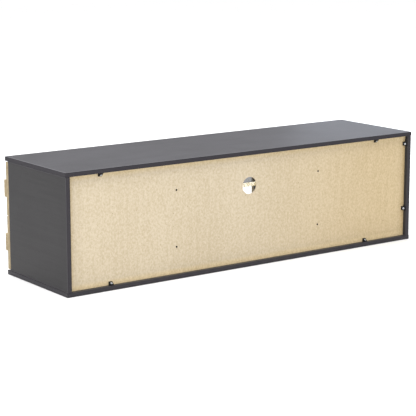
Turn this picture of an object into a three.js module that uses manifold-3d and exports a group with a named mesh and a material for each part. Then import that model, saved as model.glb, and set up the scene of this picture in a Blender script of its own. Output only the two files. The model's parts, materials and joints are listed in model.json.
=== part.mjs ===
// A low, wide television stand: an open middle bay with a shelf and a cable hole in its back,
// and two drawers on grooved runners in the bay at each end.
// Millimetres. +Z is up, the drawers face -Y, and the origin is the middle of the underside.
import * as THREE from 'three';
import { mergeVertices } from 'three/addons/utils/BufferGeometryUtils.js';
import Module from 'manifold-3d';

const wasm = await Module();
wasm.setup();

// ---- Driving dimensions -------------------------------------------------------------------

// Carcass
const WIDTH = 1500;
const HEIGHT = 410;
const CARCASS_DEPTH = 400;
const BOARD = 15;
const OVERHANG = 2;             // top and bottom boards past the side panels
const DIVIDER_X = 310;          // centre line of a divider
const FIT = 0.3;                // clearance between pieces that touch
const CUT_MARGIN = 1;           // how far a cutter reaches out of the face it starts from

// Hardboard back, in a groove of the four outer boards
const BACK_RECESS = 16.5;       // from the rear edges to the hardboard
const HARDBOARD = 3;
const GROOVE_WIDTH = HARDBOARD + 2 * FIT;
const GROOVE_DEPTH = 6;
const HARDBOARD_REACH = 5.5;    // how far the hardboard goes into the groove
const CABLE_HOLE_RADIUS = 30;
const CABLE_HOLE_Z = 285.5;
const CABLE_HOLE_SIDES = 48;

// Shelf of the middle bay, on four pins
const SHELF = 16;
const SHELF_TOP = 296.5;
const SHELF_SIDE_GAP = 0.5;
const PIN_RADIUS = 3;
const PIN_IN_BOARD = 8;
const PIN_UNDER_SHELF = 9;
const PIN_SHOULDER = 1;         // added to the radius of the end under the shelf
const PIN_SIDES = 12;
const PIN_FROM_BACK = [60, 320];

// Drawer fronts and their raised bars
const FRONT = 16;
const FRONT_SETBACK = 2;        // air between a front and the boards behind it
const FRONT_GAP = 4;            // to the top and bottom boards
const FRONT_SPLIT = 2;          // between two stacked fronts
const FRONT_INNER_REVEAL = 1;   // divider edge left showing beside a front
const FRONT_OUTER_REVEAL = 0.5;
const BAR_HEIGHT = 60;
const BAR_PROUD = 14;

// Drawer boxes
const BOX_BOARD = 12;
const BOX_HEIGHT = 140;
const BOX_LENGTH = 350;
const BOX_LIFT = 15;            // box above the lower edge of its front
const BOX_SIDE_GAP = 3;
const BOX_GROOVE_Z = 10;        // groove for the bottom, above the box's lower edge
const BOX_GROOVE_DEPTH = 5;
const BOX_BOTTOM_REACH = 4.5;   // how far the bottom goes into its grooves

// Runners: strips screwed to the uprights, in a groove along each side of a box
const RUNNER_THICK = 8.5;
const RUNNER_HEIGHT = 16;
const RUNNER_LENGTH = 340;
const RUNNER_FRONT_INSET = 2;
const RUNNER_Z = BOX_LIFT + 65; // centre line above the lower edge of the front
const RUNNER_GROOVE_HEIGHT = RUNNER_HEIGHT + 1;
const RUNNER_GROOVE_DEPTH = 6;

// Wedge clips and nails that hold the hardboard
const CLIP_WIDTH = 14;
const CLIP_LEG = 12;            // along the hardboard
const CLIP_DEPTH = 13;          // along the board it is screwed to
const CLIP_TOE = 2.5;
const TOP_CLIPS_X = [612, -583];
const BOTTOM_CLIPS_X = [577, -536];
const SIDE_CLIPS_Z = [365, 119]; // on the left side panel alone
const NAIL_LENGTH = 22;
const NAIL_RADIUS = 0.9;
const NAIL_HEAD_RADIUS = 3.4;
const NAIL_HEAD = 1;
const NAIL_POINT = 2;
const NAIL_SIDES = 12;
const NAIL_HOLE_SIDES = 8;
const NAILS_Z = [304, 108];

// ---- Derived places -----------------------------------------------------------------------

const BACK_Y = (CARCASS_DEPTH + BAR_PROUD) / 2;
const FRONT_Y = BACK_Y - CARCASS_DEPTH;
const HARDBOARD_Y = BACK_Y - BACK_RECESS;
const UPRIGHT_FRONT_Y = FRONT_Y + FRONT + FRONT_SETBACK;
const DIVIDER_BACK_Y = HARDBOARD_Y - HARDBOARD - FIT;
const SIDE_X = WIDTH / 2 - OVERHANG - BOARD / 2;
const INSIDE_X = SIDE_X - BOARD / 2;
const BAY_X = (SIDE_X + DIVIDER_X) / 2;
const BAY_WIDTH = SIDE_X - DIVIDER_X - BOARD;
const FRONT_HEIGHT = (HEIGHT - 2 * BOARD - 2 * FRONT_GAP - FRONT_SPLIT) / 2;
const FRONT_LEVELS = [BOARD + FRONT_GAP, BOARD + FRONT_GAP + FRONT_HEIGHT + FRONT_SPLIT];
const FRONT_INNER_X = DIVIDER_X - BOARD / 2 + FRONT_INNER_REVEAL;
const FRONT_OUTER_X = SIDE_X + BOARD / 2 - FRONT_OUTER_REVEAL;
const FRONT_BACK_Y = FRONT_Y + FRONT;
const BOX_HALF = BAY_WIDTH / 2 - BOX_SIDE_GAP;
const BOX_INSIDE = BOX_HALF - BOX_BOARD;
const BOX_BACK_Y = FRONT_BACK_Y + FIT + BOX_LENGTH;
const RUNNER_FRONT_Y = UPRIGHT_FRONT_Y + RUNNER_FRONT_INSET;

// ---- Materials ----------------------------------------------------------------------------

function material(color, roughness, metalness) {
  return new THREE.MeshStandardMaterial({ color, roughness, metalness });
}
const graphite = material('#565556', 0.5, 0);
const lightOak = material('#bea982', 0.55, 0);
const hardboard = material('#d8c8a4', 0.85, 0);
const boxFoil = material('#6a6866', 0.6, 0);
const runnerPlastic = material('#d9d8d2', 0.4, 0);
const blackPlastic = material('#141416', 0.45, 0);
const zinc = material('#b4b6b8', 0.35, 1);
const nailSteel = material('#4a4744', 0.5, 1);

// ---- Solid helpers ------------------------------------------------------------------------

// The geometry with shared corners, and without the slivers that a lathe leaves on its axis
function weld(geometry) {
  const bare = geometry.clone();
  bare.deleteAttribute('normal');
  bare.deleteAttribute('uv');
  const merged = mergeVertices(bare, 1e-4);
  const { array } = merged.index;
  const kept = [];
  for (let i = 0; i < array.length; i += 3) {
    const corners = [array[i], array[i + 1], array[i + 2]];
    if (new Set(corners).size === 3) kept.push(...corners);
  }
  merged.setIndex(kept);
  return merged;
}

function toSolid(geometry) {
  const welded = weld(geometry);
  return new wasm.Manifold(new wasm.Mesh({
    numProp: 3,
    vertProperties: Float32Array.from(welded.attributes.position.array),
    triVerts: Uint32Array.from(welded.index.array),
  }));
}

function cut(geometry, cutters) {
  let solid = toSolid(geometry);
  for (const cutter of cutters) solid = solid.subtract(toSolid(cutter));
  const { vertProperties, triVerts } = solid.getMesh();
  const result = new THREE.BufferGeometry();
  result.setAttribute('position', new THREE.BufferAttribute(Float32Array.from(vertProperties), 3));
  result.setIndex(new THREE.BufferAttribute(Uint32Array.from(triVerts), 1));
  return result;
}

// A box by its three ranges
function block([x0, x1], [y0, y1], [z0, z1]) {
  const geometry = new THREE.BoxGeometry(x1 - x0, y1 - y0, z1 - z0);
  return geometry.translate((x0 + x1) / 2, (y0 + y1) / 2, (z0 + z1) / 2);
}

// The range between two values given in either order
function span(a, b) {
  return [Math.min(a, b), Math.max(a, b)];
}

function around(middle, size) {
  return [middle - size / 2, middle + size / 2];
}

// A turned piece, its outline as [radius, height] from the bottom of its axis to the top
function turned(outline, sides) {
  const points = outline.map(([radius, height]) => new THREE.Vector2(radius, height));
  return new THREE.LatheGeometry(points, sides);
}

function rod(radius, low, high, sides) {
  return turned([[0, low], [radius, low], [radius, high], [0, high]], sides);
}

// Turns a piece made along +Y to point along an axis, at a place
function pointed(object, [x, y, z], axis) {
  const up = new THREE.Vector3(0, 1, 0);
  object.quaternion.setFromUnitVectors(up, new THREE.Vector3(...axis));
  object.position.set(x, y, z);
  object.updateMatrix();
  return object;
}

function pointedCutter(geometry, place, axis) {
  return geometry.applyMatrix4(pointed(new THREE.Object3D(), place, axis).matrix);
}

function piece(name, geometry, look) {
  const mesh = new THREE.Mesh(geometry, look);
  mesh.name = name;
  return mesh;
}

// A board by its three ranges, with grooves and holes taken out, placed by its middle
function board(name, xs, ys, zs, look, cutters = []) {
  const [x, y, z] = [xs, ys, zs].map(([low, high]) => (low + high) / 2);
  const mesh = piece(name, cut(block(xs, ys, zs), cutters).translate(-x, -y, -z), look);
  mesh.position.set(x, y, z);
  return mesh;
}

// ---- Carcass ------------------------------------------------------------------------------

const BACK_GROOVE_Y = around(HARDBOARD_Y - HARDBOARD / 2, GROOVE_WIDTH);

// The top or the bottom: low is its underside, and inner the height of the face with the groove
function flatBoard(name, low, inner) {
  const grooveHalf = INSIDE_X + GROOVE_DEPTH;
  const groove = block([-grooveHalf, grooveHalf], BACK_GROOVE_Y,
    [inner - GROOVE_DEPTH, inner + GROOVE_DEPTH]);
  return board(name, [-WIDTH / 2, WIDTH / 2], [FRONT_Y, BACK_Y], [low, low + BOARD], graphite, [groove]);
}

const UPRIGHT_ZS = [BOARD + FIT, HEIGHT - BOARD - FIT];

function sidePanel(name, side) {
  const inner = side * INSIDE_X;
  const groove = block(around(inner, 2 * GROOVE_DEPTH), BACK_GROOVE_Y, [0, HEIGHT]);
  return board(name, around(side * SIDE_X, BOARD), [UPRIGHT_FRONT_Y, BACK_Y], UPRIGHT_ZS, graphite,
    [groove]);
}

function divider(name, side) {
  const inner = side * (DIVIDER_X - BOARD / 2);
  const pinHoles = PIN_FROM_BACK.map((distance) => {
    const hole = rod(PIN_RADIUS + FIT, -PIN_IN_BOARD - FIT, CUT_MARGIN, PIN_SIDES);
    return pointedCutter(hole, pinPlace(side, distance), [-side, 0, 0]);
  });
  const nailHoles = NAILS_Z.map((z) => nailHole(side, z));
  return board(name, span(inner, inner + side * BOARD), [UPRIGHT_FRONT_Y, DIVIDER_BACK_Y], UPRIGHT_ZS,
    graphite, [...pinHoles, ...nailHoles]);
}

function shelf() {
  const half = DIVIDER_X - BOARD / 2 - SHELF_SIDE_GAP;
  return board('middle_shelf', [-half, half], [UPRIGHT_FRONT_Y, DIVIDER_BACK_Y],
    [SHELF_TOP - SHELF, SHELF_TOP], graphite);
}

function pinPlace(side, distance) {
  const z = SHELF_TOP - SHELF - FIT - PIN_RADIUS - PIN_SHOULDER;
  return [side * (DIVIDER_X - BOARD / 2), BACK_Y - distance, z];
}

// A pin with a wider end under the shelf
function shelfPin(name, side, distance) {
  const outline = [[0, -PIN_IN_BOARD], [PIN_RADIUS, -PIN_IN_BOARD], [PIN_RADIUS, FIT],
    [PIN_RADIUS + PIN_SHOULDER, FIT], [PIN_RADIUS + PIN_SHOULDER, PIN_UNDER_SHELF], [0, PIN_UNDER_SHELF]];
  return pointed(piece(name, turned(outline, PIN_SIDES), zinc), pinPlace(side, distance), [-side, 0, 0]);
}

// ---- Back ---------------------------------------------------------------------------------

function backPanel() {
  const half = INSIDE_X + HARDBOARD_REACH;
  const cableHole = pointedCutter(rod(CABLE_HOLE_RADIUS, -BOARD, BOARD, CABLE_HOLE_SIDES),
    [0, HARDBOARD_Y, CABLE_HOLE_Z], [0, 1, 0]);
  const nailHoles = [-1, 1].flatMap((side) => NAILS_Z.map((z) => nailHole(side, z)));
  return board('back_panel', [-half, half], [HARDBOARD_Y - HARDBOARD, HARDBOARD_Y],
    [BOARD - HARDBOARD_REACH, HEIGHT - BOARD + HARDBOARD_REACH], hardboard, [cableHole, ...nailHoles]);
}

// Nails go through the hardboard into the rear edges of the dividers
function nail(name, side, z) {
  const outline = [[0, -NAIL_LENGTH], [NAIL_RADIUS, NAIL_POINT - NAIL_LENGTH], [NAIL_RADIUS, FIT],
    [NAIL_HEAD_RADIUS, FIT], [NAIL_HEAD_RADIUS, FIT + NAIL_HEAD / 2], [0, FIT + NAIL_HEAD]];
  const mesh = piece(name, turned(outline, NAIL_SIDES), nailSteel);
  return pointed(mesh, [side * DIVIDER_X, HARDBOARD_Y, z], [0, 1, 0]);
}

function nailHole(side, z) {
  const hole = rod(NAIL_RADIUS + FIT, -NAIL_LENGTH - FIT, CUT_MARGIN, NAIL_HOLE_SIDES);
  return pointedCutter(hole, [side * DIVIDER_X, HARDBOARD_Y, z], [0, 1, 0]);
}

// A wedge in the corner of the hardboard and a board; away leads from that board to the opening
function clip(name, [x, y, z], away) {
  const outline = [[0, 0], [CLIP_LEG, 0], [CLIP_LEG, CLIP_TOE],
    [CLIP_LEG + CLIP_TOE - CLIP_DEPTH, CLIP_DEPTH], [0, CLIP_DEPTH]];
  const shape = new THREE.Shape(outline.map(([u, v]) => new THREE.Vector2(u + FIT, v + FIT)));
  const wedge = new THREE.ExtrudeGeometry(shape, { depth: CLIP_WIDTH, bevelEnabled: false });
  const mesh = piece(name, wedge.translate(0, 0, -CLIP_WIDTH / 2), blackPlastic);
  const u = new THREE.Vector3(...away);
  const v = new THREE.Vector3(0, 1, 0);
  const turn = new THREE.Matrix4().makeBasis(u, v, new THREE.Vector3().crossVectors(u, v));
  mesh.quaternion.setFromRotationMatrix(turn);
  mesh.position.set(x, y, z);
  return mesh;
}

function clips() {
  return [
    ...TOP_CLIPS_X.map((x) => [`top_${sideWord(x)}`, [x, HARDBOARD_Y, HEIGHT - BOARD], [0, 0, -1]]),
    ...BOTTOM_CLIPS_X.map((x) => [`bottom_${sideWord(x)}`, [x, HARDBOARD_Y, BOARD], [0, 0, 1]]),
    ...SIDE_CLIPS_Z.map((z, row) => (
      [`left_${['upper', 'lower'][row]}`, [-INSIDE_X, HARDBOARD_Y, z], [1, 0, 0]])),
  ].map(([place, corner, away]) => clip(`back_clip_${place}`, corner, away));
}

function sideWord(x) {
  return x < 0 ? 'left' : 'right';
}

// ---- Drawers ------------------------------------------------------------------------------

// A drawer in its own frame: the middle of its bay and the lower edge of its front
function drawer(name, side, level) {
  const parts = new THREE.Group();
  parts.position.set(side * BAY_X, 0, level);
  const boxZs = [BOX_LIFT, BOX_LIFT + BOX_HEIGHT];
  const grooveZs = [BOX_LIFT + BOX_GROOVE_Z, BOX_LIFT + BOX_GROOVE_Z + GROOVE_WIDTH];
  const bottomGroove = block(around(0, 2 * (BOX_INSIDE + BOX_GROOVE_DEPTH)),
    [FRONT_BACK_Y - BOX_GROOVE_DEPTH, BOX_BACK_Y + CUT_MARGIN], grooveZs);

  const frontXs = span(side * (FRONT_INNER_X - BAY_X), side * (FRONT_OUTER_X - BAY_X));
  parts.add(board(`${name}_front`, frontXs, [FRONT_Y, FRONT_BACK_Y], [0, FRONT_HEIGHT], lightOak,
    [bottomGroove]));
  parts.add(board(`${name}_bar`, frontXs, [FRONT_Y - BAR_PROUD, FRONT_Y - FIT],
    around(FRONT_HEIGHT / 2, BAR_HEIGHT), lightOak));

  for (const wall of [-1, 1]) {
    const runnerGroove = block(around(wall * BOX_HALF, 2 * RUNNER_GROOVE_DEPTH), [FRONT_Y, BACK_Y],
      around(RUNNER_Z, RUNNER_GROOVE_HEIGHT));
    parts.add(board(`${name}_side_${sideWord(wall)}`, span(wall * BOX_INSIDE, wall * BOX_HALF),
      [FRONT_BACK_Y + FIT, BOX_BACK_Y], boxZs, boxFoil, [bottomGroove, runnerGroove]));
  }
  parts.add(board(`${name}_back`, around(0, 2 * (BOX_INSIDE - FIT)), [BOX_BACK_Y - BOX_BOARD, BOX_BACK_Y],
    [grooveZs[1], boxZs[1]], boxFoil));
  parts.add(board(`${name}_bottom`, around(0, 2 * (BOX_INSIDE + BOX_BOTTOM_REACH)),
    [FRONT_BACK_Y - BOX_BOTTOM_REACH, BOX_BACK_Y], [grooveZs[0] + FIT, grooveZs[1] - FIT], hardboard));
  return parts;
}

// The two strips that carry one drawer, in the same frame as the drawer
function runners(name, side, level) {
  const parts = new THREE.Group();
  parts.position.set(side * BAY_X, 0, level);
  for (const wall of [-1, 1]) {
    const face = wall * BAY_WIDTH / 2;
    parts.add(board(`runner_${name}_${sideWord(wall)}`, span(face - wall * FIT, face - wall * RUNNER_THICK),
      [RUNNER_FRONT_Y, RUNNER_FRONT_Y + RUNNER_LENGTH], around(RUNNER_Z, RUNNER_HEIGHT), runnerPlastic));
  }
  return parts;
}

// ---- Assembly -----------------------------------------------------------------------------

const televisionStand = new THREE.Group();
televisionStand.add(
  flatBoard('bottom_panel', 0, BOARD), flatBoard('top_panel', HEIGHT - BOARD, HEIGHT - BOARD),
  shelf(), backPanel(), ...clips());
for (const side of [-1, 1]) {
  const word = sideWord(side);
  televisionStand.add(sidePanel(`side_panel_${word}`, side), divider(`divider_${word}`, side));
  televisionStand.add(...PIN_FROM_BACK.map((distance, row) => (
    shelfPin(`shelf_pin_${word}_${['rear', 'front'][row]}`, side, distance))));
  televisionStand.add(...NAILS_Z.map((z, row) => (
    nail(`back_nail_${word}_${['upper', 'lower'][row]}`, side, z))));
  FRONT_LEVELS.forEach((level, row) => {
    const name = `${['lower', 'upper'][row]}_${word}`;
    televisionStand.add(drawer(`drawer_${name}`, side, level), runners(name, side, level));
  });
}

export default televisionStand;
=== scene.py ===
"""Looks for the television stand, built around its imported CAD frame."""
import json
import math

import bpy
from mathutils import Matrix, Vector

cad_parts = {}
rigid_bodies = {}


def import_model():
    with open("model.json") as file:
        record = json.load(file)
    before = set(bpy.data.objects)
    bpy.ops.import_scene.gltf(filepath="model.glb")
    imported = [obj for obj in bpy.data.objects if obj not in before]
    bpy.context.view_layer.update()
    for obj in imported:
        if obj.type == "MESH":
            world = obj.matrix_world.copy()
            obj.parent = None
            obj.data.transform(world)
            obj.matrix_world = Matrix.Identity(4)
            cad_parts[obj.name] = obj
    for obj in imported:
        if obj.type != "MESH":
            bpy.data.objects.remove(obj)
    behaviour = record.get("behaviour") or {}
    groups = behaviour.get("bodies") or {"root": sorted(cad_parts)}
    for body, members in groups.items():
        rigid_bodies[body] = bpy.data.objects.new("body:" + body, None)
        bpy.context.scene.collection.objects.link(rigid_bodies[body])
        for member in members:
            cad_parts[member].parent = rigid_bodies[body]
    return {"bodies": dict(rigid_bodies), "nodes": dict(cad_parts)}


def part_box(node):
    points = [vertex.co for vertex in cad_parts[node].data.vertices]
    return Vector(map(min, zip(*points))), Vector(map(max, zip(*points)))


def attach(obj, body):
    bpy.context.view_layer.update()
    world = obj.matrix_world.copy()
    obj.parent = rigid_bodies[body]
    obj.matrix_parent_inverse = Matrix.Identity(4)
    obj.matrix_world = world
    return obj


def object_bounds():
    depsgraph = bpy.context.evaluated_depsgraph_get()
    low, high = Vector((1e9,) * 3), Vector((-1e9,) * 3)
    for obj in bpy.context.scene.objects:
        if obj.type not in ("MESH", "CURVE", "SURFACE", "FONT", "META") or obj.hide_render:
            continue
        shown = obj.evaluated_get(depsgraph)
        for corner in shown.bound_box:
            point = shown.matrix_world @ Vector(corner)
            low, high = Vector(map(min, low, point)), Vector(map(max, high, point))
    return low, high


MM = 0.001
X, Y, Z = 0, 1, 2
UNIT = (Vector((1, 0, 0)), Vector((0, 1, 0)), Vector((0, 0, 1)))
FACING = 0.75           # a face looks along an axis when its normal's share of it is over this

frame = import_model()
cad_low, cad_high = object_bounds()
nodes = frame["nodes"]
drawers = [body for body in frame["bodies"] if body.startswith("drawer_")]

# ---- Colours, as linear light ---------------------------------------------------------------


def srgb(red, green, blue):
    """A colour given in 0-255 display values."""
    linear = [
        c / 12.92 if c <= 0.04045 else ((c + 0.055) / 1.055) ** 2.4
        for c in (red / 255, green / 255, blue / 255)
    ]
    return (*linear, 1.0)


BAND = srgb(54, 52, 56)
BAND_LINE = srgb(18, 17, 22)
# painted highlight on every board's arrises: the lip of the edge band, lighter than the band
ARRIS_HIGHLIGHT = srgb(66, 64, 68)
# dark, light, and a painted highlight on the lip of the edge band where it meets the face
GRAPHITE = (srgb(50, 49, 50), srgb(55, 54, 55), ARRIS_HIGHLIGHT)
# the top panel's copy of the laminate: cooler tones as a painted sheen of cool light, and a brighter painted
# highlight on its lip
GRAPHITE_PAINTED_SHEEN = (srgb(42, 41, 47), srgb(60, 59, 65), srgb(108, 107, 112))
OAK_LIGHT = srgb(186, 166, 128)
OAK_MID = srgb(164, 141, 101)
OAK_PORE = srgb(122, 99, 66)
OAK_END_LIGHT = srgb(172, 156, 122)
OAK_END_DARK = srgb(118, 100, 70)
HARDBOARD_LIGHT = srgb(201, 188, 165)
HARDBOARD_MID = srgb(181, 166, 139)
# warmer, darker tones: painted shade towards the -X end and along the sides of the opening
HARDBOARD_PAINTED_SHADE = (srgb(178, 155, 112), srgb(198, 175, 132))
# lighter tones: painted light lifting the shade near the top and bottom of the opening
HARDBOARD_PAINTED_LIGHT = (srgb(206, 184, 140), srgb(228, 207, 165))
HARDBOARD_SPECK = srgb(128, 104, 74)
CHIP_LIGHT = srgb(244, 238, 218)
CHIP_TAN = srgb(180, 162, 116)
CHIP_GAP = srgb(112, 92, 60)
FOIL_LIGHT = srgb(122, 120, 118)
FOIL_DARK = srgb(104, 102, 100)
RUNNER = srgb(214, 213, 207)
BLACK = srgb(10, 10, 11)
ZINC = srgb(206, 208, 212)
NAIL = srgb(26, 24, 22)
CAM_ZINC = srgb(170, 171, 174)
SOFT_CLEAR = srgb(214, 216, 214)
FLOOR = ((0.95, 0.95, 0.95, 1.0), (0.97, 0.97, 0.97, 1.0))
SKY = (1.0, 1.0, 1.0, 1.0)
COLD_LIGHT = (0.78, 0.86, 1.0)

# ---- Node helpers ---------------------------------------------------------------------------


class Shader:
    """One material, built up as named steps that each return an output socket."""

    def __init__(self, name, roughness=0.5, metallic=0.0, specular=0.5):
        self.material = bpy.data.materials.new(name)
        self.material.use_nodes = True
        self.tree = self.material.node_tree
        self.surface = self.tree.nodes["Principled BSDF"]
        self.surface.inputs["Roughness"].default_value = roughness
        self.surface.inputs["Metallic"].default_value = metallic
        self.surface.inputs["Specular IOR Level"].default_value = specular
        self.place = self.add("TexCoord").outputs["Object"]

    def add(self, kind, inputs=None, **settings):
        made = self.tree.nodes.new("ShaderNode" + kind)
        for key, value in settings.items():
            setattr(made, key, value)
        for key, value in (inputs or {}).items():
            self.feed(made.inputs[key], value)
        return made

    def feed(self, socket, value):
        if isinstance(value, bpy.types.NodeSocket):
            self.tree.links.new(value, socket)
        else:
            socket.default_value = value

    def math(self, operation, a, b=0.0):
        return self.add("Math", {0: a, 1: b}, operation=operation).outputs[0]

    def times(self, number, value):
        return self.math("MULTIPLY", value, number)

    def mix(self, factor, a, b):
        made = self.add("Mix", data_type="RGBA")
        for index, value in ((0, factor), (6, a), (7, b)):
            self.feed(made.inputs[index], value)
        return made.outputs[2]

    def scaled(self, scale, offset=(0, 0, 0)):
        """The object's own coordinates in metres, stretched and shifted."""
        made = self.add("Mapping", {"Vector": self.place, "Scale": scale, "Location": offset})
        return made.outputs["Vector"]

    def noise(self, scale, offset=(0, 0, 0), detail=4.0, roughness=0.55):
        inputs = {"Vector": self.scaled(scale, offset), "Scale": 1.0, "Detail": detail,
                  "Roughness": roughness}
        return self.add("TexNoise", inputs).outputs["Fac"]

    def ramp(self, value, low, high):
        """0 below low and 1 above high, smooth between them."""
        inputs = {"Value": value, "From Min": low, "From Max": high}
        made = self.add("MapRange", inputs, interpolation_type="SMOOTHSTEP")
        return made.outputs["Result"]

    def towards(self, axis, sign=0):
        """1 on faces that look along an axis: either way, or only the way of the sign."""
        normal = self.add("NewGeometry").outputs["True Normal"]
        local = self.add("VectorTransform", {"Vector": normal}, vector_type="NORMAL",
                         convert_from="WORLD", convert_to="OBJECT")
        part = self.add("SeparateXYZ", {"Vector": local.outputs[0]}).outputs[axis]
        part = self.math("MULTIPLY", part, sign) if sign else self.math("ABSOLUTE", part)
        return self.math("GREATER_THAN", part, FACING)

    def near_faces(self, axis, middle, half, line):
        """1 within line of either face of a board, by its middle and half thickness."""
        part = self.add("SeparateXYZ", {"Vector": self.place}).outputs[axis]
        off = self.math("ABSOLUTE", self.math("SUBTRACT", part, middle))
        return self.ramp(off, half - line * 1.3, half - line * 0.7)

    def bump(self, height, distance):
        made = self.add("Bump", {"Height": height, "Distance": distance, "Strength": 1.0})
        self.feed(self.surface.inputs["Normal"], made.outputs["Normal"])

    def paint(self, colour, roughness=None):
        self.feed(self.surface.inputs["Base Color"], colour)
        if roughness is not None:
            self.feed(self.surface.inputs["Roughness"], roughness)


def stretched(along, fine, coarse):
    """Scales for a pattern drawn out along one axis: coarse along it and fine across it."""
    return tuple(coarse if axis == along else fine for axis in (X, Y, Z))


def shifted(number):
    """An offset that gives each board its own stretch of the pattern."""
    return (number * 3.71, number * 5.13, number * 7.97)


# ---- Materials ------------------------------------------------------------------------------


def chipboard_colour(shader, number):
    """Pressed chips of two tones with dark gaps, as on a raw sawn edge."""
    place = shader.scaled((150, 210, 420), shifted(number))
    chips = shader.add("TexVoronoi", {"Vector": place, "Scale": 1.0}, distance="CHEBYCHEV")
    tone = shader.add("SeparateColor", {"Color": chips.outputs["Color"]}).outputs[0]
    colour = shader.mix(shader.ramp(tone, 0.2, 0.6), CHIP_TAN, CHIP_LIGHT)
    gaps = shader.noise((420, 420, 900), shifted(number), detail=3)
    return shader.mix(shader.times(0.7, shader.ramp(gaps, 0.52, 0.66)), colour, CHIP_GAP)


def graphite(name, number, outline, thin, grain, raw, gloss, specular, tones):
    """Matt graphite laminate on a board with edge bands and a painted highlight on their arrises:
    outline is its box, thin its thickness axis, grain the run of its figure, raw an edge (axis, sign)
    left without a band, and tones its dark, its light and the painted highlight on the lip of its band."""
    middle, half = (outline[0][thin] + outline[1][thin]) / 2, (outline[1][thin] - outline[0][thin]) / 2
    shader = Shader(name, specular=specular)
    offset = shifted(number)
    figure = shader.noise(stretched(grain, 95, 3.2), offset, detail=6, roughness=0.62)
    clouds = shader.noise((9, 9, 9), offset, detail=3)
    tone = shader.math("ADD", shader.times(0.75, figure), shader.times(0.25, clouds))
    face = shader.mix(shader.ramp(tone, 0.36, 0.64), *tones[:2])
    pores = shader.noise(stretched(grain, 900, 45), offset, detail=3)
    face = shader.mix(shader.times(0.35, shader.ramp(pores, 0.58, 0.7)), face, BAND_LINE)
    # dark joint line along the band's edges, widened into painted shade of its rounded arrises
    seam = shader.near_faces(thin, middle, half, 1.8 * MM)
    band = shader.mix(shader.times(0.7, seam), BAND, BAND_LINE)
    colour = shader.mix(shader.towards(thin), band, face)
    if raw:
        colour = shader.mix(shader.towards(*raw), colour, chipboard_colour(shader, number))
    low, high = outline
    # painted highlight: a lighter lip round the outline of both faces, brightest on the top panel
    rim = shader.near_faces(thin, middle, half, 1.1 * MM)
    edges = [shader.near_faces(axis, (low[axis] + high[axis]) / 2, (high[axis] - low[axis]) / 2, 3.4 * MM)
             for axis in (X, Y, Z) if axis != thin]
    arris_highlight = shader.math("MULTIPLY", rim, shader.math("MAXIMUM", *edges))
    lip_highlight = shader.mix(shader.towards(thin), ARRIS_HIGHLIGHT, tones[2])
    colour = shader.mix(shader.times(0.8, arris_highlight), colour, lip_highlight)
    shader.paint(colour, shader.math("ADD", gloss - 0.06, shader.times(0.12, figure)))
    shader.bump(shader.math("ADD", pores, shader.times(0.6, figure)), 0.04 * MM)
    return shader.material


def light_oak(name, number, end_grain, middle, half):
    """Light oak effect laminate: figure along X on the face, and fine lines on its banded ends."""
    shader = Shader(name)
    offset = shifted(number)
    rings = shader.noise(stretched(X, 9, 0.45), offset, detail=2)
    lines = shader.math("PINGPONG", shader.times(26.0, rings), 1.0)
    bands = shader.noise(stretched(X, 70, 0.8), offset, detail=3)
    fibre = shader.noise(stretched(X, 420, 7), offset, detail=4)
    figure = shader.math("ADD", shader.times(0.22, shader.ramp(lines, 0.5, 1.0)),
                         shader.times(0.4, shader.ramp(bands, 0.3, 0.7)))
    figure = shader.math("ADD", figure, shader.times(0.35, fibre))
    colour = shader.mix(figure, OAK_LIGHT, OAK_MID)
    pores = shader.ramp(shader.noise(stretched(X, 1100, 16), offset, detail=2), 0.6, 0.72)
    colour = shader.mix(shader.times(0.55, pores), colour, OAK_PORE)
    end_lines = shader.noise(stretched(end_grain, 650, 40), offset, detail=3)
    ends = shader.mix(shader.ramp(end_lines, 0.35, 0.68), OAK_END_LIGHT, OAK_END_DARK)
    seam = shader.near_faces(Y, middle, half, 0.9 * MM)
    ends = shader.mix(shader.times(0.5, seam), ends, OAK_END_DARK)
    colour = shader.mix(shader.towards(X), colour, ends)
    shader.paint(colour, shader.math("ADD", 0.42, shader.times(0.2, fibre)))
    shader.bump(shader.math("SUBTRACT", fibre, pores), 0.14 * MM)
    return shader.material


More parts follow.
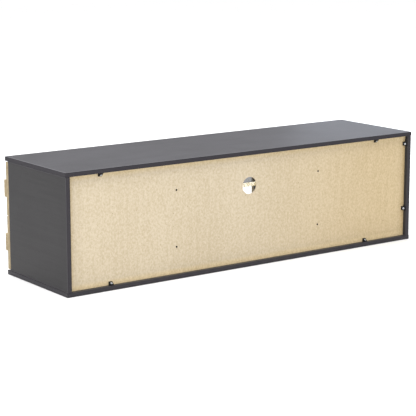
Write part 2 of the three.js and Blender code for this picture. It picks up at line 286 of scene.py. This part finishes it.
def hardboard(name, number, printed, frame_box=None):
    """Pressed fibre: mottled, with sparse dark specks; printed is the side (axis, sign) that shows
    the carcass's graphite, and frame_box the opening round which shade and light are painted on it."""
    shader = Shader(name, specular=0.25)
    offset = shifted(number)
    mottle = shader.noise((150, 150, 110), offset, detail=4, roughness=0.8)
    streaks = shader.noise((60, 60, 7), offset, detail=4)
    drift = shader.noise((4, 4, 1.6), offset, detail=1)
    tone = shader.math("ADD", shader.times(0.72, mottle), shader.times(0.16, streaks))
    tone = shader.math("ADD", tone, shader.times(0.12, drift))
    light = shader.ramp(tone, 0.37, 0.63)
    colour = shader.mix(light, HARDBOARD_MID, HARDBOARD_LIGHT)
    if frame_box:
        low, high = frame_box
        parts = shader.add("SeparateXYZ", {"Vector": shader.place}).outputs
        # painted shade: warmer and darker towards the -X end
        painted_falloff = shader.ramp(parts[X], high.x * 0.2, low.x)
        colour = shader.mix(shader.times(0.6, painted_falloff), colour, shader.mix(light, *HARDBOARD_PAINTED_SHADE))
        # painted light and shade round the opening: warmer and darker along its sides, lighter near its top
        # and bottom
        for axis, tones in ((X, HARDBOARD_PAINTED_SHADE), (Z, HARDBOARD_PAINTED_LIGHT)):
            middle, half = (low[axis] + high[axis]) / 2, (high[axis] - low[axis]) / 2
            off = shader.math("ABSOLUTE", shader.math("SUBTRACT", parts[axis], middle))
            rim = shader.ramp(off, half - 24 * MM, half - 2 * MM)
            colour = shader.mix(shader.times(0.8, rim), colour, shader.mix(light, *tones))
    specks = shader.noise((190, 190, 170), offset, detail=2)
    colour = shader.mix(shader.times(0.7, shader.ramp(specks, 0.69, 0.76)), colour, HARDBOARD_SPECK)
    print_grain = shader.noise(stretched(X, 95, 3.2), offset, detail=6)
    print_colour = shader.mix(shader.ramp(print_grain, 0.36, 0.64), *GRAPHITE[:2])
    colour = shader.mix(shader.towards(*printed), colour, print_colour)
    shader.paint(colour, shader.math("ADD", 0.68, shader.times(0.2, mottle)))
    shader.bump(mottle, 0.25 * MM)
    return shader.material


def foil(name, number):
    """Plain grey foil with a fine linen weave, on the drawer boxes."""
    shader = Shader(name)
    offset = shifted(number)
    warp = shader.noise((900, 900, 40), offset, detail=2)
    weft = shader.noise((40, 40, 900), offset, detail=2)
    weave = shader.times(0.5, shader.math("ADD", warp, weft))
    shader.paint(shader.mix(shader.ramp(weave, 0.4, 0.6), FOIL_DARK, FOIL_LIGHT),
                 shader.math("ADD", 0.45, shader.times(0.2, weave)))
    shader.bump(weave, 0.08 * MM)
    return shader.material


def moulded(name, colour, roughness, spark, specular=0.5):
    """Moulded plastic with a spark-eroded skin; spark is the depth of its texture."""
    shader = Shader(name, specular=specular)
    skin = shader.noise((1400, 1400, 1400), detail=3)
    flow = shader.noise((40, 40, 160), detail=3)
    dull = tuple(c * 0.8 for c in colour[:3]) + (1.0,)
    shader.paint(shader.mix(flow, dull, colour), shader.math("ADD", roughness, shader.times(0.15, skin)))
    shader.bump(skin, spark)
    return shader.material


def plated(name, colour, roughness):
    """Plated or bare steel with faint stains."""
    shader = Shader(name, metallic=1.0)
    stain = shader.noise((260, 260, 260), detail=4)
    dull = tuple(c * 0.62 for c in colour[:3]) + (1.0,)
    shader.paint(shader.mix(shader.ramp(stain, 0.3, 0.75), colour, dull),
                 shader.math("ADD", roughness, shader.times(0.22, stain)))
    shader.bump(stain, 0.03 * MM)
    return shader.material


# ---- CAD nodes: edges and materials ---------------------------------------------------------


def soften(name, width, segments=2):
    """Rounds a CAD node's edges on top of its untouched mesh."""
    weld = nodes[name].modifiers.new("weld", "WELD")
    weld.merge_threshold = 0.01 * MM
    bevel = nodes[name].modifiers.new("bevel", "BEVEL")
    bevel.width = width
    bevel.segments = segments
    bevel.limit_method = "ANGLE"
    bevel.angle_limit = math.radians(40)


def dress(name, material, edge, segments=2):
    nodes[name].data.materials.clear()
    nodes[name].data.materials.append(material)
    soften(name, edge, segments)


def middle_and_half(name, axis):
    low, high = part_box(name)
    return (low[axis] + high[axis]) / 2, (high[axis] - low[axis]) / 2


def dress_carcass():
    boards = [
        # the top panel takes the laminate with the painted cool sheen and brighter lip highlight
        ("top_panel", Z, X, None, 0.42, 0.065, GRAPHITE_PAINTED_SHEEN),
        ("bottom_panel", Z, X, None, 0.4, 0.12, GRAPHITE),
        ("middle_shelf", Z, X, (Y, 1), 0.12, 0.55, GRAPHITE),
        ("side_panel_left", X, Y, None, 0.42, 0.12, GRAPHITE),
        ("side_panel_right", X, Y, None, 0.42, 0.12, GRAPHITE),
        ("divider_left", X, Y, (Y, 1), 0.42, 0.12, GRAPHITE),
        ("divider_right", X, Y, (Y, 1), 0.42, 0.12, GRAPHITE),
    ]
    for number, (name, thin, grain, raw, gloss, specular, tones) in enumerate(boards):
        look = graphite(f"graphite_{name}", number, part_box(name), thin, grain, raw, gloss, specular, tones)
        dress(name, look, 1.0 * MM)
    low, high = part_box("back_panel")
    floor_top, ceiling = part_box("bottom_panel")[1].z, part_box("top_panel")[0].z
    left_wall, right_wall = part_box("side_panel_left")[1].x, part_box("side_panel_right")[0].x
    opening = (Vector((left_wall, low.y, floor_top)), Vector((right_wall, high.y, ceiling)))
    look = hardboard("hardboard_back", 20, (Y, -1), opening)
    dress("back_panel", look, 0.25 * MM)


def dress_drawers():
    box_foil = foil("box_foil", 40)
    for number, body in enumerate(drawers):
        front, bar = body + "_front", body + "_bar"
        look = light_oak(f"oak_{front}", number * 2, Z, *middle_and_half(front, Y))
        dress(front, look, 0.8 * MM)
        look = light_oak(f"oak_{bar}", number * 2 + 1, Y, *middle_and_half(bar, Y))
        dress(bar, look, 1.5 * MM, 3)
        for part in ("side_left", "side_right", "back"):
            dress(f"{body}_{part}", box_foil, 0.5 * MM)
        dress(body + "_bottom", hardboard(f"hardboard_{body}", 21 + number, (Z, 1)), 0.2 * MM)


def dress_small_parts():
    runner = moulded("runner_plastic", RUNNER, 0.32, 0.02 * MM)
    clip = moulded("clip_plastic", BLACK, 0.3, 0.05 * MM, 0.2)
    pin = plated("pin_zinc", ZINC, 0.2)
    nail = plated("nail_steel", NAIL, 0.4)
    looks = [("runner_", runner, "runner_plastic", 1.2), ("back_clip_", clip, "black_plastic", 0.6),
             ("shelf_pin_", pin, "zinc", 0.4), ("back_nail_", nail, "nail_steel", 0.2)]
    for name in nodes:
        for start, look, slot, edge in looks:
            if name.startswith(start):
                dress(name, look, edge * MM)


# ---- Turned pieces: screw heads, cams and bumpers -------------------------------------------

ROUND = 64                                          # sides of a turned piece
CLIP_SCREW = (3.6 * MM, 2.4 * MM)                   # radius and height of each head
CLIP_SCREW_CROSS = (2.3 * MM, 0.9 * MM, 1.2 * MM)   # length, width and depth of each recess
RUNNER_SCREW = (3.4 * MM, 0.2 * MM)
RUNNER_SCREW_CROSS = (1.9 * MM, 0.8 * MM, 0.9 * MM)
RUNNER_SCREW_SHARES = (0.1, 0.5, 0.9)               # places along a runner
CAM = (7.3 * MM, 0.3 * MM)
CAM_CROSS = (4.2 * MM, 1.4 * MM, 2.0 * MM)
CAM_FROM_END, CAM_FROM_FRONT, CAM_FROM_BACK = 34 * MM, 62 * MM, 60 * MM
BUMPER_RADIUS, BUMPER_HEIGHT, BUMPER_DOME, BUMPER_RIM = 4 * MM, 1.5 * MM, 0.9 * MM, 0.5 * MM
BUMPER_FROM_END = 14 * MM
# The middle of a clip's slope, past the clip's own middle, as shares of its sizes
SLOPE_OFF_BOARD, SLOPE_REARWARD = 0.0625, 0.096


def cross_depth(x, y, length, width, depth):
    """How deep a cross recess is at a point of a head, with its arms tapering to the bottom."""
    reach = max(abs(x), abs(y))
    across = min(abs(x), abs(y))
    if reach > length:
        return 0.0
    wall = min(1.0, max(0.0, (width / 2 - across) / (width * 0.3)))
    floor = 1.0 - (reach / length) ** 2 * 0.6
    return depth * wall * floor


def turned_head(name, outline, cross=None):
    """A head turned from [radius, height] steps that run from its middle out and down to its foot,
    closed underneath. cross is the (length, width, depth) of its driver recess."""
    verts = [(0, 0, outline[0][1] - (cross[2] if cross else 0))]
    for radius, height in outline[1:]:
        for i in range(ROUND):
            turn = 2 * math.pi * i / ROUND
            x, y = radius * math.cos(turn), radius * math.sin(turn)
            sunk = cross_depth(x, y, *cross) if cross else 0.0
            verts.append((x, y, height - sunk))
    rings = len(outline) - 1
    faces = [(0, 1 + i, 1 + (i + 1) % ROUND) for i in range(ROUND)]
    for ring in range(rings - 1):
        start = 1 + ring * ROUND
        for i in range(ROUND):
            j = (i + 1) % ROUND
            faces.append((start + i, start + ROUND + i, start + ROUND + j, start + j))
    last = 1 + (rings - 1) * ROUND
    faces.append(tuple(last + i for i in reversed(range(ROUND))))
    mesh = bpy.data.meshes.new(name)
    mesh.from_pydata(verts, [], faces)
    mesh.polygons.foreach_set("use_smooth", [True] * len(mesh.polygons))
    mesh.update()
    return mesh


def steps(radius, count):
    return [radius * i / count for i in range(count)]


def pan_outline(radius, height):
    """A domed head with a rounded rim, as [radius, height] from its middle to its foot."""
    dome = [[r, height * (1 - 0.35 * (r / radius) ** 2)] for r in steps(radius * 0.9, 12)]
    rim = [[radius * (0.9 + 0.1 * math.sin(a)), height * 0.45 + height * 0.27 * math.cos(a)]
           for a in (math.radians(d) for d in (10, 35, 60, 90))]
    return dome + rim + [[radius, 0]]


def flat_outline(radius, height):
    """A flat head with a fine chamfer, as [radius, height] from its middle to its foot."""
    return [[r, height] for r in steps(radius * 0.94, 14)] + [[radius * 0.94, height],
                                                              [radius, height * 0.5], [radius, 0]]


def stand_piece(name, mesh, place, facing, body, turn=0.0):
    """Sets a turned piece on a surface, its own +Z along facing, turned about that axis."""
    piece = bpy.data.objects.new(name, mesh)
    bpy.context.scene.collection.objects.link(piece)
    piece.rotation_mode = "QUATERNION"
    tilt = Vector((0, 0, 1)).rotation_difference(Vector(facing).normalized())
    piece.rotation_quaternion = tilt @ Vector((1, 0, 0)).rotation_difference(
        Vector((math.cos(turn), math.sin(turn), 0)))
    piece.location = place
    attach(piece, body)
    return piece


def clip_screws():
    """A pan-head screw square on the slope of each wedge clip."""
    mesh = turned_head("clip_screw_head", pan_outline(*CLIP_SCREW), CLIP_SCREW_CROSS)
    mesh.materials.append(plated("screw_zinc", ZINC, 0.16))
    away_from = {"top": -UNIT[Z], "bottom": UNIT[Z], "left": UNIT[X], "right": -UNIT[X]}
    for number, name in enumerate(sorted(n for n in nodes if n.startswith("back_clip_"))):
        away = away_from[name.split("_")[2]]
        low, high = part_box(name)
        middle, size = (low + high) / 2, high - low
        across = size.z if away.z else size.x
        slope = middle + away * across * SLOPE_OFF_BOARD + UNIT[Y] * size.y * SLOPE_REARWARD
        stand_piece(f"clip_screw_{name[10:]}", mesh, slope, away + UNIT[Y], "carcass",
                    0.4 + number * 0.7)


def runner_screws():
    """Three countersunk screws flush in the face of each runner."""
    mesh = turned_head("runner_screw_head", flat_outline(*RUNNER_SCREW), RUNNER_SCREW_CROSS)
    mesh.materials.append(plated("runner_screw_zinc", ZINC, 0.2))
    for number, name in enumerate(sorted(n for n in nodes if n.startswith("runner_"))):
        low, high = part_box(name)
        inward = UNIT[X] if name.endswith("_left") else -UNIT[X]
        face = high.x if name.endswith("_left") else low.x
        for step, share in enumerate(RUNNER_SCREW_SHARES):
            place = Vector((face, low.y + (high.y - low.y) * share, (low.z + high.z) / 2))
            stand_piece(f"runner_screw_{name[7:]}_{step}", mesh, place, inward, "carcass",
                        number + step * 0.8)


def cams():
    """Cam locks flush in the uprights, near the four corners of each, on the drawers' side."""
    mesh = turned_head("cam_face", flat_outline(*CAM), CAM_CROSS)
    mesh.materials.append(plated("cam_zinc", CAM_ZINC, 0.35))
    for name, side in (("side_panel_left", 1), ("divider_left", -1), ("divider_right", 1),
                       ("side_panel_right", -1)):
        low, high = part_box(name)
        face = high.x if side > 0 else low.x
        for end, z in (("lower", low.z + CAM_FROM_END), ("upper", high.z - CAM_FROM_END)):
            for depth, y in (("front", low.y + CAM_FROM_FRONT), ("rear", cad_high.y - CAM_FROM_BACK)):
                stand_piece(f"cam_{name}_{end}_{depth}", mesh, Vector((face, y, z)), (side, 0, 0),
                            "carcass", 0.3 + y * 5 + z * 9)


def bumpers():
    """Clear soft dots on the back of each front, where it closes on the board beside it."""
    dome = [[r, BUMPER_HEIGHT - BUMPER_DOME * (r / BUMPER_RADIUS) ** 2] for r in steps(BUMPER_RADIUS, 8)]
    mesh = turned_head("bumper_dot", dome + [[BUMPER_RADIUS, BUMPER_RIM], [BUMPER_RADIUS, 0]])
    mesh.materials.append(moulded("bumper_soft", SOFT_CLEAR, 0.25, 0.01 * MM))
    for body in drawers:
        side = "right" if body.endswith("right") else "left"
        panel_low, panel_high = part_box(f"side_panel_{side}")
        low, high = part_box(body + "_front")
        for end, z in (("lower", low.z + BUMPER_FROM_END), ("upper", high.z - BUMPER_FROM_END)):
            place = Vector(((panel_low.x + panel_high.x) / 2, high.y, z))
            stand_piece(f"bumper_{body[7:]}_{end}", mesh, place, (0, 1, 0), body)


# ---- Studio ---------------------------------------------------------------------------------

CAMERA_AIM = Vector((0.030, -0.0145, 0.175))
CAMERA_DISTANCE = 5.466
CAMERA_AZIMUTH = 144.06
CAMERA_ELEVATION = 11.46
CAMERA_LENS = 131.7
LIGHTS_AIM = Vector((0, 0, 0.2))
SKY_STRENGTH = 1.04
FLOOR_REACH, FLOOR_Z = 12.0, -0.4 * MM


def studio_direction(azimuth, elevation):
    a, e = math.radians(azimuth), math.radians(elevation)
    return Vector((math.sin(a) * math.cos(e), -math.cos(a) * math.cos(e), math.sin(e)))


def make_camera():
    camera = bpy.data.objects.new("camera", bpy.data.cameras.new("camera"))
    bpy.context.scene.collection.objects.link(camera)
    back = studio_direction(CAMERA_AZIMUTH, CAMERA_ELEVATION)
    camera.location = CAMERA_AIM + back * CAMERA_DISTANCE
    camera.rotation_euler = (-back).to_track_quat("-Z", "Y").to_euler()
    camera.data.lens = CAMERA_LENS
    bpy.context.scene.camera = camera


def area_light(name, azimuth, elevation, distance, size, power, colour=(1.0, 1.0, 1.0)):
    light = bpy.data.lights.new(name, "AREA")
    light.color = colour
    light.size = size
    light.energy = power
    holder = bpy.data.objects.new(name, light)
    bpy.context.scene.collection.objects.link(holder)
    back = studio_direction(azimuth, elevation)
    holder.location = LIGHTS_AIM + back * distance
    holder.rotation_euler = (-back).to_track_quat("-Z", "Y").to_euler()


def make_studio():
    world = bpy.data.worlds.new("studio")
    world.use_nodes = True
    background = world.node_tree.nodes["Background"]
    background.inputs["Color"].default_value = SKY
    background.inputs["Strength"].default_value = SKY_STRENGTH
    bpy.context.scene.world = world
    bpy.context.scene.view_settings.view_transform = "Standard"
    area_light("rear_key", 128, 52, 4.0, 2.6, 95)
    area_light("front_fill", 330, 50, 4.5, 3.0, 80)
    area_light("far_sheen", 304, 10, 3.7, 1.6, 12, COLD_LIGHT)
    mesh = bpy.data.meshes.new("floor")
    corners = [(x * FLOOR_REACH, y * FLOOR_REACH, FLOOR_Z) for x, y in ((-1, -1), (1, -1), (1, 1), (-1, 1))]
    mesh.from_pydata(corners, [], [(0, 1, 2, 3)])
    floor = bpy.data.objects.new("floor", mesh)
    bpy.context.scene.collection.objects.link(floor)
    shader = Shader("floor_paper", roughness=0.8, specular=0.2)
    shader.paint(shader.mix(shader.noise((3, 3, 3)), *FLOOR))
    mesh.materials.append(shader.material)


# ---- Build ----------------------------------------------------------------------------------

make_camera()
make_studio()
dress_carcass()
dress_drawers()
dress_small_parts()
clip_screws()
runner_screws()
cams()
bumpers()
